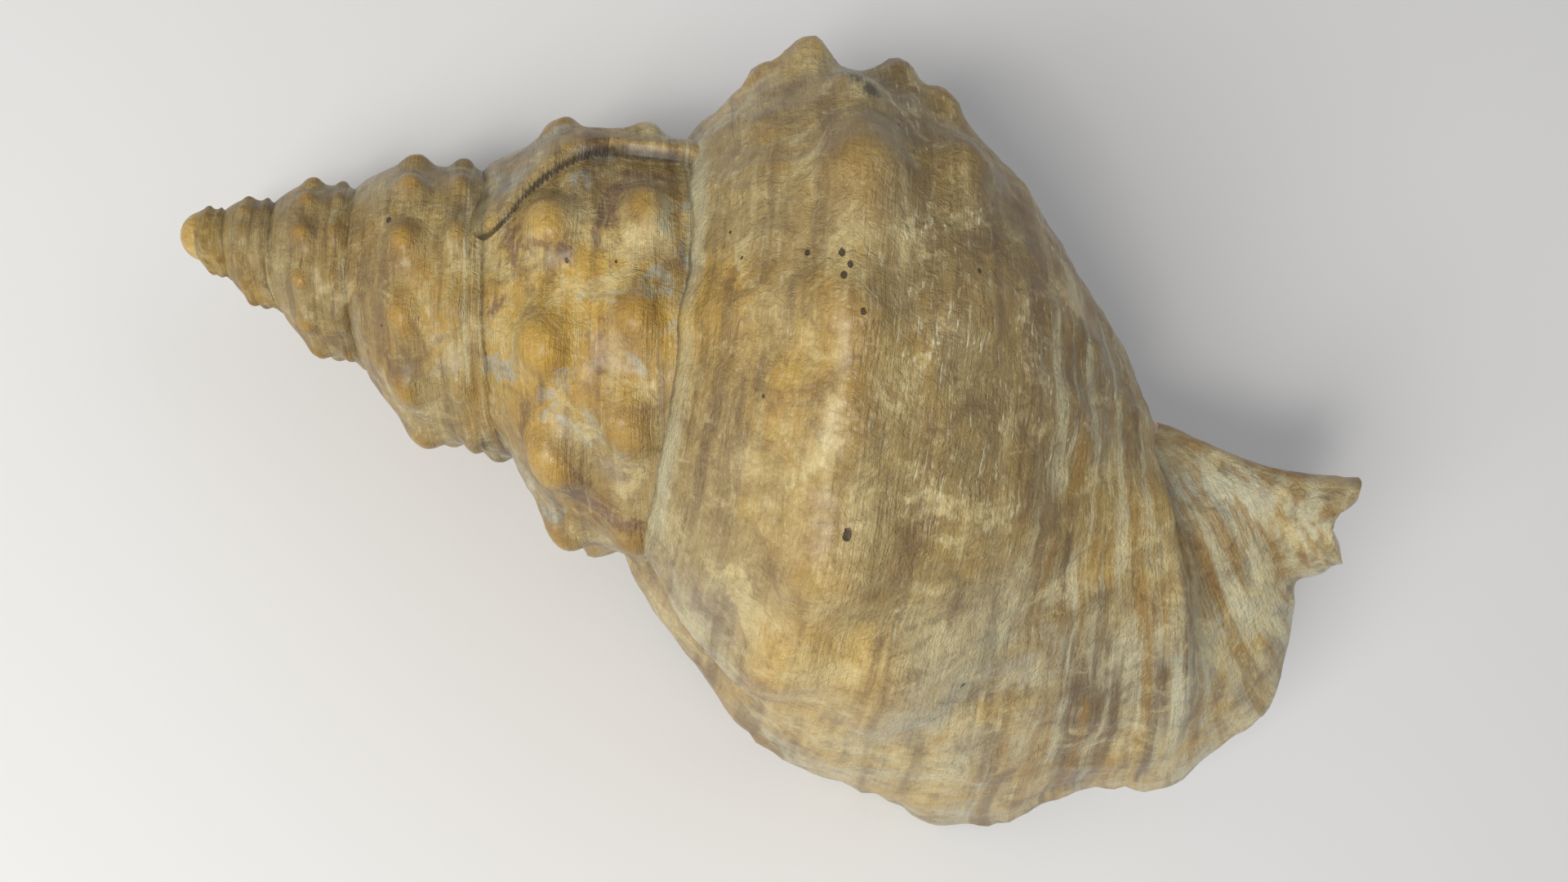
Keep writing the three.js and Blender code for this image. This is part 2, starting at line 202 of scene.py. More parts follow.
# sum of bumps: two rows repeated round every whorl, then the last whorl's own
def knobHeight(angle, along):
    height = np.zeros_like(angle)
    for shift, row, tall, wide, reach in knobs["rows"]:
        centres = np.arange(knobs["last"], coil["startAngle"], -knobs["spacing"]) + shift
        for centre in centres:
            height += crowned(tall, bump(angle, centre, wide) * bump(along, row, reach))
    for centre, row, tall, wide, reach in knobs["single"]:
        height += crowned(tall, bump(angle, centre, wide) * bump(along, row, reach))
    return height


# degrees past the old lip's edge, which leans back with the share along the outline
def pastOldLip(angle, along):
    old = ridges["oldLip"]
    return angle - old["angle"] - old["lean"] * smooth(*old["leanAlong"], along)


# height times a ramp that rises slowly up to the edge and drops at once behind it
def oldLipHeight(angle, along):
    old = ridges["oldLip"]
    past = pastOldLip(angle, along)
    ramp = smooth(-old["rise"], 0, past) * (1 - smooth(0, old["fall"], past))
    return old["height"] * ramp * smooth(*old["goes"], along)


# what the last shoulder adds and the groove behind the lip takes away, plus a sine along the lip's edge
def lipRelief(angle, along):
    ridge, groove, frill = ridges["shoulder"], ridges["groove"], ridges["frill"]
    added = ridge["height"] * bump(angle, ridge["angle"], ridge["width"])
    added = added * smooth(*ridge["comes"], along) * smooth(*ridge["goes"], along)
    hollow = groove["depth"] * bump(angle, groove["angle"], groove["width"])
    hollow = hollow * smooth(*groove["goes"], along)
    wave = np.sin(along * frill["waves"] + frill["drift"] * np.sin(along * frill["driftWaves"]))
    wave = wave * smooth(*frill["comes"], along) * smooth(*frill["goes"], along)
    return added - hollow + frill["height"] * wave * smooth(frill["from"], coil["lipAngle"], angle)


# place and radius of the outer surface: the whorl's outline scaled by growth, blended into the canal's
# and then, with a power of the share grown, into the lip's
def outerOutline(angle, along, withKnobs=True):
    grown = grownBy(angle)
    spireShare = (1 - smooth(*changes["spireToWhorl"], angle))[..., None]
    whorl = curveThrough(outlines["spire"], along) * spireShare
    whorl = whorl + curveThrough(outlines["whorl"], along) * (1 - spireShare)
    place = sutureAt(angle) + grown * (whorl[..., 0] - coil["firstSuture"])
    radius = grown * whorl[..., 1] * readOff(coil["girth"], angle)
    if withKnobs:
        radius = radius + grown * (knobHeight(angle, along) + oldLipHeight(angle, along))
    canal, dip = curveThrough(outlines["canal"], along), changes["canalDip"]
    canalShare = smooth(*changes["canalGrows"], angle) * smooth(*changes["canalAlong"], along)
    place = place + (canal[..., 0] - place) * canalShare
    radius = radius + (canal[..., 1] - radius) * canalShare
    place = place - dip["depth"] * smooth(*dip["along"], along) * bump(angle, dip["angle"], dip["width"])
    lipTable, flare = np.array(outlines["lip"], float), changes["flare"]
    lip = curveThrough(lipTable[:, 1:], np.interp(along, lipTable[:, 0], np.linspace(0, 1, len(lipTable))))
    flareFrom = flare["start"] - flare["lean"] * smooth(*flare["leanAlong"], along)
    lipShare = np.clip((angle - flareFrom) / (coil["lipAngle"] - flareFrom), 0, 1) ** flare["easing"]
    place = place + (lip[..., 0] - place) * lipShare
    radius = radius + (lip[..., 1] - radius) * lipShare + lipRelief(angle, along)
    return place, np.maximum(radius, coil["leastRadius"])


# turns place and radius round the axis by the angle and bends the canal's end aside
def inSpace(place, radius, angle):
    turn = np.radians(angle)
    bend = coil["canalBend"] * smooth(coil["canalBendFrom"], coil["canalEnd"], place)
    return np.stack([place, radius * np.cos(turn) - bend, radius * np.sin(turn)], -1)


# unit normals of a grid of points, from the cross product of its two gradients
def gridNormals(points):
    byRow = np.gradient(points, axis=0)
    byColumn = np.gradient(points, axis=1)
    n = np.cross(byRow, byColumn)
    return n / np.maximum(np.linalg.norm(n, axis=-1, keepdims=True), 1e-9)


# smooth noise: a mean of plane waves in random directions, all near one wavelength
def waveNoise(points, size, seed):
    rng = np.random.default_rng(seed)
    waves = relief["waves"]
    way = rng.normal(size=(waves, 3))
    way /= np.linalg.norm(way, axis=1, keepdims=True)
    way *= rng.uniform(*relief["spread"], (waves, 1)) * 2 * np.pi / size
    phase = rng.uniform(0, 2 * np.pi, waves)
    total = np.zeros(points.shape[:-1])
    for w, p in zip(way, phase):
        total += np.sin(points @ w + p)
    return total / math.sqrt(waves / 2)


# faces between neighbouring rows and columns of a grid of vertex numbers
def gridFaces(ids):
    return np.stack([ids[:-1, :-1], ids[1:, :-1], ids[1:, 1:], ids[:-1, 1:]], -1).reshape(-1, 4)


# how far each point stands above the whorl before it: its radius less that whorl's at the same place
def heightOverLast(angles, alongs, place, radius):
    lastAngle, lastAlong = np.meshgrid(angles - 360, alongs, indexing="ij")
    lastPlace, lastRadius = outerOutline(lastAngle, lastAlong, False)
    under = [np.interp(own, before, out) for own, before, out in zip(place, lastPlace, lastRadius)]
    return radius - np.array(under)


# a roll about the coiling axis and then a tip about the level axis across it
def restOnFloor(points):
    roll, tip = math.radians(coil["roll"]), math.radians(coil["tip"])
    turn = Matrix.Rotation(tip, 3, "Y") @ Matrix.Rotation(roll, 3, "X")
    return points @ np.array(turn).T


# the outer wall: the knobbed outline turned round the axis, then moved along its normals by two noises
def outerWall(angle, along):
    wall = inSpace(*outerOutline(angle, along), angle)
    uneven = relief["coarse"] * waveNoise(wall, relief["coarseSize"], relief["seed"])
    uneven += relief["fine"] * waveNoise(wall, relief["fineSize"], relief["seed"] + 1)
    return wall + gridNormals(wall) * (uneven * np.minimum(grownBy(angle), 1))[..., None]


# the inner wall: the plain surface moved in along its normals by the wall, which is thinner on small
# whorls and towards the lip
def innerWall(plain, angle):
    thin = (coil["lipWall"] - coil["wall"]) * smooth(coil["wallThinsFrom"], coil["lipAngle"], angle)
    wall = (coil["wall"] + thin) * np.minimum(grownBy(angle), 1) ** coil["wallEasing"]
    return plain - gridNormals(plain) * wall[..., None]


# the lip's rim: half circles from the outer edge over to the inner one, which has every second point
def lipRim(outer, edgeIn, alongs):
    full = np.stack([np.interp(alongs, alongs[::2], edgeIn[:, k]) for k in range(3)], -1)
    middle, half = (outer[-1] + full) / 2, (outer[-1] - full) / 2
    forward = outer[-1] - outer[-2]
    forward /= np.linalg.norm(forward, axis=1, keepdims=True)
    reach = np.linalg.norm(half, axis=1, keepdims=True)
    turns = np.linspace(0, np.pi, detail["rim"] + 2)[1:-1]
    return np.stack([middle + half * math.cos(a) + forward * reach * math.sin(a) for a in turns])


# faces of the walls and the rim, and those that close their edges
def shellFaces(outIds, rimIds, inIds, keep):
    blocks = [gridFaces(outIds), gridFaces(np.vstack([outIds[-1:], rimIds])),
              gridFaces(inIds)[:, ::-1]]   # the inner wall faces the other way
    lists = [f for block in blocks for f in block.tolist()]
    last, lastIn = rimIds[-1], inIds[-1]
    for j in range(len(lastIn) - 1):   # the rim's last row has twice the inner edge's points
        lists.append([last[2 * j], lastIn[j], lastIn[j + 1], last[2 * j + 2], last[2 * j + 1]])
    for i in range(len(keep) - 1):     # the suture edge and the canal edge of the open tube
        a, b, c = keep[i], keep[i] + 1, keep[i + 1]
        lists.append([outIds[a, 0], inIds[i, 0], inIds[i + 1, 0], outIds[c, 0], outIds[b, 0]])
        lists.append([outIds[a, -1], outIds[b, -1], outIds[c, -1], inIds[i + 1, -1], inIds[i, -1]])
    rimStart = [outIds[-1, 0]] + rimIds[:, 0].tolist() + [inIds[-1, 0]]
    rimEnd = [outIds[-1, -1]] + rimIds[:, -1].tolist() + [inIds[-1, -1]]
    lists += [rimStart[::-1], rimEnd]
    first = keep[0]
    for i in range(first):             # deeper in, the tube is solid and its two edges are joined
        lists.append([outIds[i, 0], outIds[i, -1], outIds[i + 1, -1], outIds[i + 1, 0]])
    lists.append([outIds[first, 0], outIds[first, -1]] + inIds[0][::-1].tolist())
    lists.append(outIds[0].tolist())
    return lists


# the whole tube: outer wall, rim and inner wall on one grid of growth angle by share along the outline
def buildShell():
    rows = [np.linspace(a, b, n, endpoint=False) for a, b, n in detail["rows"]]
    angles = np.concatenate(rows + [[coil["lipAngle"]]])
    alongs = np.linspace(0, 1, detail["along"] + 1)
    angle, along = np.meshgrid(angles, alongs, indexing="ij")
    plainPlace, plainRadius = outerOutline(angle, along, False)
    outer = outerWall(angle, along)
    inner = innerWall(inSpace(plainPlace, plainRadius, angle), angle)
    keep = np.flatnonzero(angles >= coil["pocketAngle"])[::-2][::-1]   # every second row, ending at the lip
    inner = inner[keep][:, ::2]
    rim = lipRim(outer, inner[-1], alongs)

    grids, start = [], 0
    for part in (outer, rim, inner):
        count = part.shape[0] * part.shape[1]
        grids.append(start + np.arange(count).reshape(part.shape[:2]))
        start += count
    points = np.concatenate([part.reshape(-1, 3) for part in (outer, rim, inner)])

    rimShape, innerShape = rim.shape[:2], inner.shape[:2]
    rimSide = np.linspace(0, 1, detail["rim"] + 2)[1:-1, None]
    values = {
        "growth": [angle, np.full(rimShape, coil["lipAngle"]), angle[keep][:, ::2]],
        "along": [along, np.broadcast_to(alongs, rimShape), along[keep][:, ::2]],
        "inside": [np.zeros_like(angle), np.broadcast_to(rimSide, rimShape), np.ones(innerShape)],
        "knobTip": [knobHeight(angle, along) / knobs["fullHeight"], np.zeros(rimShape),
                    np.zeros(innerShape)],
        "above": [heightOverLast(angles, alongs, plainPlace, plainRadius), np.full(rimShape, farOff),
                  np.full(innerShape, farOff)],
        "pastLip": [pastOldLip(angle, along), np.full(rimShape, farOff), np.full(innerShape, farOff)],
    }
    values = {k: np.concatenate([v.ravel() for v in parts]) for k, parts in values.items()}
    return points, shellFaces(*grids, keep), values


# a surface of revolution about the axis: place and radius from a profile, bent with the canal
def turned(profile, growth, along, inside):
    profile, sides = np.array(profile, float), turnedParts["sides"]
    place, angle = np.meshgrid(profile[:, 0], np.arange(sides) * 360 / sides, indexing="ij")
    rings = inSpace(place, np.repeat(profile[:, 1:], sides, 1), angle)
    ids = np.arange(rings.shape[0] * sides).reshape(-1, sides)
    ids = np.hstack([ids, ids[:, :1]])
    lists = gridFaces(ids)[:, ::-1].tolist()
    lists += [ids[0, :-1][::-1].tolist(), ids[-1, :-1].tolist()]
    count = rings.shape[0] * sides
    fixed = {"growth": growth, "along": along, "inside": inside, "knobTip": 0.0, "pastLip": farOff,
             "above": farOff}
    values = {label: np.full(count, number) for label, number in fixed.items()}
    return rings.reshape(-1, 3), lists, values


# several point lists as one, each part's faces numbered on from the part before
def joined(parts):
    points, lists, values, start = [], [], {}, 0
    for p, f, v in parts:
        points.append(p)
        lists += [[start + i for i in face] for face in f]
        for name, numbers in v.items():
            values.setdefault(name, []).append(numbers)
        start += len(p)
    return np.concatenate(points), lists, {k: np.concatenate(v) for k, v in values.items()}


# a smooth-shaded object at the origin, with each list of values as a point attribute
def meshFrom(name, points, lists, values):
    mesh = bpy.data.meshes.new(name)
    mesh.from_pydata(points.tolist(), [], lists)
    for label, numbers in values.items():
        mesh.attributes.new(label, "FLOAT", "POINT").data.foreach_set("value", numbers.astype(np.float32))
    mesh.polygons.foreach_set("use_smooth", np.ones(len(mesh.polygons), bool))
    mesh.update()
    piece = bpy.data.objects.new(name, mesh)
    bpy.context.collection.objects.link(piece)
    return piece


tube = buildShell()
pillar = turned(turnedParts["pillar"], turnedParts["pillarGrowth"], turnedParts["pillarAlong"], 1.0)
poles = turnedParts["apexPoles"]
apexTurns = np.linspace(poles, math.pi - poles, turnedParts["apexRings"])
apexProfile = [(turnedParts["apexPlace"] - turnedParts["apexRadius"] * math.cos(a),
                turnedParts["apexRadius"] * math.sin(a)) for a in apexTurns]
tipBall = turned(apexProfile, turnedParts["apexGrowth"], turnedParts["apexAlong"], 0.0)
points, lists, values = joined([tube, pillar, tipBall])
resting = restOnFloor(points) * mm
low, high = resting.min(0), resting.max(0)
shift = np.array([(cadShell[0][0] + cadShell[1][0]) / 2 - (low[0] + high[0]) / 2,
                  (cadShell[0][1] + cadShell[1][1]) / 2 - (low[1] + high[1]) / 2, -low[2]])
shell = meshFrom("shellSurface", resting + shift, lists, values)
print("shell surface", len(shell.data.vertices), "points", len(shell.data.polygons), "faces, size mm",
      ((high - low) * 1000).round(1).tolist())


# a colour of six hexadecimal digits as linear light, by the standard curve
def linear(code):
    parts = [int(code[i:i + 2], 16) / 255 for i in (0, 2, 4)]
    return tuple(p / 12.92 if p <= 0.04045 else ((p + 0.055) / 1.055) ** 2.4 for p in parts) + (1.0,)


class Wire:
    # one output of a node; sums on it add Math nodes
    def __init__(self, paint, socket):
        self.paint, self.socket = paint, socket

    def sum(self, operation, first, second):
        return self.paint.node("ShaderNodeMath", {"operation": operation}, {0: first, 1: second})

    def __add__(self, other): return self.sum("ADD", self, other)
    def __radd__(self, other): return self.sum("ADD", other, self)
    def __sub__(self, other): return self.sum("SUBTRACT", self, other)
    def __rsub__(self, other): return self.sum("SUBTRACT", other, self)
    def __mul__(self, other): return self.sum("MULTIPLY", self, other)
    def __rmul__(self, other): return self.sum("MULTIPLY", other, self)
    def __truediv__(self, other): return self.sum("DIVIDE", self, other)
    def __rtruediv__(self, other): return self.sum("DIVIDE", other, self)


class Paint:
    # a material being made; node() adds any node and gives back one output
    def __init__(self, name):
        self.material = bpy.data.materials.new(name)
        self.material.use_nodes = True
        self.tree = self.material.node_tree
        self.tree.nodes.clear()

    def node(self, kind, settings=None, sockets=None, out=0):
        made = self.tree.nodes.new(kind)
        for key, value in (settings or {}).items():
            setattr(made, key, value)
        for key, value in (sockets or {}).items():
            if isinstance(value, Wire):
                self.tree.links.new(value.socket, made.inputs[key])
            else:
                made.inputs[key].default_value = value
        return Wire(self, made.outputs[out]) if made.outputs else None

    def reads(self, label):
        return self.node("ShaderNodeAttribute", {"attribute_name": label}, out="Fac")

    # 0 at one bound and 1 at the other, eased, whichever of them is the larger
    def step(self, value, start, end):
        return self.node("ShaderNodeMapRange", {"interpolation_type": "SMOOTHSTEP"},
                         {0: value, 1: start, 2: end, 3: 0.0, 4: 1.0})

    def blend(self, factor, first, second):
        return self.node("ShaderNodeMix", {"data_type": "RGBA"}, {0: factor, 6: first, 7: second}, out=2)

    def noise(self, where, scale, depth, rough, warp):
        return self.node("ShaderNodeTexNoise", {"noise_dimensions": "3D"}, {
            "Vector": where, "Scale": scale, "Detail": depth, "Roughness": rough, "Distortion": warp})

    def either(self, pick, first, second):
        return self.node("ShaderNodeMath", {"operation": pick}, {0: first, 1: second})

    def distance(self, first, second):
        return self.node("ShaderNodeVectorMath", {"operation": "DISTANCE"}, {0: first, 1: second},
                         out="Value")


wornShell = {
    "tan": "9A8453", "gold": "BC963A", "ochre": "94702C", "olive": "7A6840", "brown": "614A2C",
    "mauve": "8B7A6A", "plum": "67493E", "cream": "D0C08C", "pale": "C2BE9F", "bluish": "A3A79C",
    # the third of these dark browns is painted shade: it darkens the suture creases and the strip under the
    # old lip's edge
    "pit": "2C2212", "stain": "24200F", "paintedShade": "2E210F", "insideCream": "DCCBAA", "insideRose": "C69C7C",
    # patches through the whole shell: scale, detail, roughness, distortion
    "patches": {"broad": (17.0, 4.0, 0.6, 0.5), "patch": (46.0, 5.0, 0.65, 0.7),
                "cloud": (95.0, 5.0, 0.7, 0.6), "cool": (27.0, 5.0, 0.62, 0.8),
                "blot": (60.0, 5.0, 0.65, 0.9), "mottle": (210.0, 6.0, 0.75, 0.3),
                "wrinkle": (620.0, 4.0, 0.6, 1.2)},
    # streaks along the growth: scale per turn, scale per outline, layer, detail, roughness, distortion
    "streaks": {"band": (5.0, 24.0, 0.0, 3.0, 0.6, 0.2), "streak": (20.0, 95.0, 2.0, 4.0, 0.65, 0.3),
                "dash": (60.0, 260.0, 5.0, 3.0, 0.6, 0.3), "ray": (9.0, 52.0, 8.0, 2.0, 0.5, 0.3)},
    # where each zone comes and goes, in growth angle or in share along the outline
    "back": {"along": (0.22, 0.36), "alongEnd": (0.8, 0.6), "growth": (-30.0, 20.0),
             "growthEnd": (150.0, 95.0)},
    "spire": {"growth": (-760.0, -380.0), "growthEnd": (-40.0, -190.0)},
    "lip": {"growth": (128.0, 178.0), "lean": 30.0},
    "canal": {"along": (0.66, 0.84), "growth": (-60.0, 10.0)},
    "flange": {"growth": (156.0, 170.0), "alongEnd": (0.3, 0.2)},
    "base": {"along": (0.46, 0.56), "alongEnd": (0.78, 0.68)},
    "rays": {"along": (0.44, 0.54)},
    "low": {"growth": (-20.0, 10.0), "growthEnd": (60.0, 25.0), "along": (0.3, 0.42)},
    # how strongly the knob tips take their ochre and gold, partly wear and partly a painted highlight
    "knobWearAndHighlight": {"growth": (0.0, -60.0)},
    "sutureBand": {"growth": (10.0, 40.0)},
    # how far along the outline the painted shadow under the old lip's edge reaches
    "oldLipShadow": {"alongEnd": (0.62, 0.5)},
    "sutureReach": {"along": (0.3, 0.5), "alongEnd": (0.5, 0.3)},
    "deep": {"growth": (200.0, 60.0)},
    # the shoulder's gold patch with its cream centre, partly the shell's gold and partly a painted
    # highlight
    "shoulderGoldAndHighlight": {"growth": 147, "along": 0.3, "turn": 380.0, "outline": 240.0},
    # growth angle, share along the outline, size in mm; then mm per turn and per outline on the last whorl
    "pits": [(-279, 0.30, 0.9), (-281, 0.385, 0.8), (-650, 0.275, 1.3), (-244, 0.085, 1.3),
             (-604, 0.26, 0.8), (77, 0.225, 1.2), (78, 0.145, 0.9), (77, 0.26, 1.5), (79, 0.27, 1.2),
             (81, 0.264, 1.5), (86, 0.285, 1.2), (117, 0.30, 1.9), (151, 0.45, 1.6), (72, 0.12, 1.0),
             (74, 0.405, 0.9), (47, 0.32, 0.9), (101, 0.2, 0.8)],
    "stains": [(36, 0.272, 8.0), (41, 0.29, 5.0)],
    "spotScale": {"turn": 310, "outline": 190, "reach": 0.4, "ragged": 3.4},
    "chips": {"turn": 120.0, "outline": 150.0, "layer": 1.0},
    "bumpHeight": 0.0009, "bumpStrength": 0.9,
    "roughness": (0.3, 0.48), "coat": 0.22, "coatRoughness": 0.28,
}
tint = {name: linear(code) for name, code in wornShell.items() if isinstance(code, str)}


class ShellFields:
    # all that the shell's colours depend on: what the mesh carries, patches, streaks and zones
    def __init__(self, paint):
        self.paint = paint
        self.where = paint.node("ShaderNodeTexCoord", out="Object")
        self.growth, self.along = paint.reads("growth"), paint.reads("along")
        self.inside, self.knobTip = paint.reads("inside"), paint.reads("knobTip")
        self.pastLip = paint.reads("pastLip")
        self.turn = self.growth / 360.0
        self.above = paint.reads("above") * self.zone("sutureReach", "alongEnd")
        self.above = self.above + self.zone("sutureReach", "along") * farOff
        for name, (scale, depth, rough, warp) in wornShell["patches"].items():
            setattr(self, name, paint.noise(self.where, scale, depth, rough, warp))
        for name, (perTurn, perOutline, layer, depth, rough, warp) in wornShell["streaks"].items():
            flat = self.onShell(perTurn, perOutline, layer)
            setattr(self, name, paint.noise(flat, 1.0, depth, rough, warp))
        self.back = self.zone("back", "along", "alongEnd", "growth", "growthEnd")
        lip = wornShell["lip"]
        self.lip = paint.step(self.growth + self.along * lip["lean"], *lip["growth"])

    # growth and place along the outline as a flat map: turns and shares, each times its own scale
    def onShell(self, turnScale, alongScale, layer):
        return self.paint.node("ShaderNodeCombineXYZ", sockets={
            0: self.turn * turnScale, 1: self.along * alongScale, 2: layer})

    # product of a step for each bound named
    def zone(self, name, *bounds):
        total = None
        for bound in bounds:
            value = self.growth if bound.startswith("growth") else self.along
            part = self.paint.step(value, *wornShell[name][bound])
            total = part if total is None else total * part
        return total


# golden, ochre and cream patches over tan, cooler ones between, a darker back and blotches on the spire
def groundColours(paint, on):
    colour = paint.blend(paint.step(on.broad, 0.44, 0.62) * 0.8, tint["tan"], tint["gold"])
    colour = paint.blend(paint.step(on.patch, 0.52, 0.7) * 0.7, colour, tint["ochre"])
    colour = paint.blend(paint.step(on.patch, 0.47, 0.3) * 0.65, colour, tint["cream"])
    colour = paint.blend(paint.step(on.cool, 0.55, 0.7) * 0.65, colour, tint["mauve"])
    colour = paint.blend(on.back * (0.55 + paint.step(on.broad, 0.6, 0.4) * 0.35), colour, tint["olive"])
    spire = on.zone("spire", "growthEnd", "growth")
    colour = paint.blend(paint.step(on.blot, 0.57, 0.64) * spire * 0.75, colour, tint["plum"])
    return paint.blend(paint.step(on.blot, 0.43, 0.36) * spire * 0.7, colour, tint["bluish"])


# the flared lip and the canal are pale and blue-grey between ochre; the flange behind the last shoulder is
# brown, and the shoulder's end has a gold patch with a cream centre, partly the shell's gold and partly a
# painted highlight
def lipColours(paint, on, colour):
    flare = paint.either("MAXIMUM", on.lip, on.zone("canal", "along", "growth"))
    colour = paint.blend(flare * (0.25 + paint.step(on.patch, 0.62, 0.42) * 0.55), colour, tint["pale"])
    colour = paint.blend(flare * paint.step(on.cool, 0.47, 0.34) * 0.5, colour, tint["bluish"])
    colour = paint.blend(flare * paint.step(on.broad, 0.5, 0.66) * 0.55, colour, tint["gold"])
    colour = paint.blend(on.zone("flange", "growth", "alongEnd") * 0.6, colour, tint["ochre"])
    # a gold patch at the shoulder's end with a cream centre: partly the shell's gold and partly a painted
    # highlight
    end = wornShell["shoulderGoldAndHighlight"]
    centre = (end["turn"] * end["growth"] / 360, end["outline"] * end["along"], 0.0)
    fromShoulderHighlight = paint.distance(on.onShell(end["turn"], end["outline"], 0.0), centre)
    colour = paint.blend(paint.step(fromShoulderHighlight + (on.patch - 0.5) * 20.0, 24.0, 8.0) * 0.7, colour, tint["gold"])
    return paint.blend(paint.step(fromShoulderHighlight + (on.cloud - 0.5) * 30.0, 16.0, 6.0) * 0.35, colour, tint["cream"])


# streaks along the growth: broad bands, thin broken lines, rays on the base, then chips and fine mottling
def streakColours(paint, on, colour):
    base = on.zone("base", "along", "alongEnd")
    colour = paint.blend(paint.step(on.band, 0.5, 0.62) * (0.48 + base * 0.32), colour, tint["brown"])
    colour = paint.blend(paint.step(on.band, 0.45, 0.32) * 0.3, colour, tint["cream"])
    colour = paint.blend(paint.step(on.streak, 0.53, 0.72) * 0.26, colour, tint["brown"])
    colour = paint.blend(paint.step(on.streak, 0.45, 0.3) * 0.24, colour, tint["cream"])
    colour = paint.blend(paint.step(on.dash, 0.54, 0.74) * 0.16, colour, tint["brown"])
    fleck = paint.step(on.dash, 0.4, 0.32) * paint.step(on.patch, 0.62, 0.4)
    colour = paint.blend(fleck * (0.35 + on.back * 0.6), colour, tint["pale"])
    rays = on.zone("rays", "along")
    colour = paint.blend(rays * paint.step(on.ray, 0.52, 0.62) * 0.6, colour, tint["ochre"])
    colour = paint.blend(rays * paint.step(on.ray, 0.46, 0.37) * 0.45, colour, tint["pale"])
    chips = wornShell["chips"]
    cells = paint.node("ShaderNodeTexVoronoi", {"feature": "F1"}, {
        "Vector": on.onShell(chips["turn"], chips["outline"], chips["layer"]), "Scale": 1.0})
    chip = paint.step(cells, 0.3, 0.16) * paint.step(on.cloud, 0.5, 0.4)
    colour = paint.blend(chip * (0.15 + on.back * 0.65), colour, tint["pale"])
    colour = paint.blend(paint.step(on.cloud, 0.51, 0.66) * 0.5, colour, tint["brown"])
    colour = paint.blend(paint.step(on.cloud, 0.47, 0.33) * 0.52, colour, tint["cream"])
    colour = paint.blend(paint.step(on.mottle, 0.5, 0.68) * 0.38, colour, tint["brown"])
    return paint.blend(paint.step(on.mottle, 0.47, 0.3) * 0.36, colour, tint["cream"])


# knob tips ochre and, on the tallest, gold, partly from wear and partly a painted highlight, a whitish band
# along the last suture, a dark line of painted shade in every suture, deeper colour low on the last whorl
# and a painted shadow in the gap under the old lip's edge
def reliefColours(paint, on, colour):
    # knob tips get ochre and, on the tallest, gold: partly the shell's wear and partly a painted highlight
    # on their crowns
    wearAndHighlight = 0.4 + on.zone("knobWearAndHighlight", "growth") * 0.6
    ochre = paint.step(on.knobTip, 0.3, 0.85) * (0.35 + paint.step(on.patch, 0.35, 0.6) * 0.4) * wearAndHighlight
    colour = paint.blend(ochre, colour, tint["ochre"])
    colour = paint.blend(paint.step(on.knobTip, 0.7, 1.1) * 0.5 * wearAndHighlight, colour, tint["gold"])
    ragged = on.above + (on.cloud - 0.5) * 5.0
    band = paint.step(ragged, 6.5, 3.0) * on.zone("sutureBand", "growth") * (1.0 - on.lip)
    colour = paint.blend(band * (0.2 + paint.step(on.broad, 0.62, 0.4) * 0.45), colour, tint["pale"])
    # painted shade: a dark line in each suture's crease, where this whorl meets the one before
    sutureShade = paint.step(on.above, 1.7, 0.5)
    colour = paint.blend(sutureShade * (0.3 + paint.step(on.cloud, 0.35, 0.6) * 0.35), colour, tint["paintedShade"])
    colour = paint.blend(on.zone("low", "growthEnd", "growth", "along") * 0.45, colour, tint["ochre"])
    # painted shadow: a dark strip just past the old lip's edge, under its overhang
    paintedShade = paint.step(on.pastLip, 0.5, 1.3) * paint.step(on.pastLip, 2.9, 1.7)
    return paint.blend(paintedShade * on.zone("oldLipShadow", "alongEnd") * 0.85, colour, tint["paintedShade"])


# least distance to any spot of a group, in spot sizes, made ragged by the mottling
def nearestSpot(paint, on, group):
    scale, nearest = wornShell["spotScale"], None
    for angle, row, across in wornShell[group]:
        grown = grownBy(angle)
        perTurn, perOutline = scale["turn"] * grown, scale["outline"] * grown
        centre = (perTurn * angle / 360, perOutline * row, 0.0)
        far = paint.distance(on.onShell(perTurn, perOutline, 0.0), centre) / (across * scale["reach"])
        nearest = far if nearest is None else paint.either("MINIMUM", nearest, far)
    return nearest + (on.mottle - 0.5) * scale["ragged"]


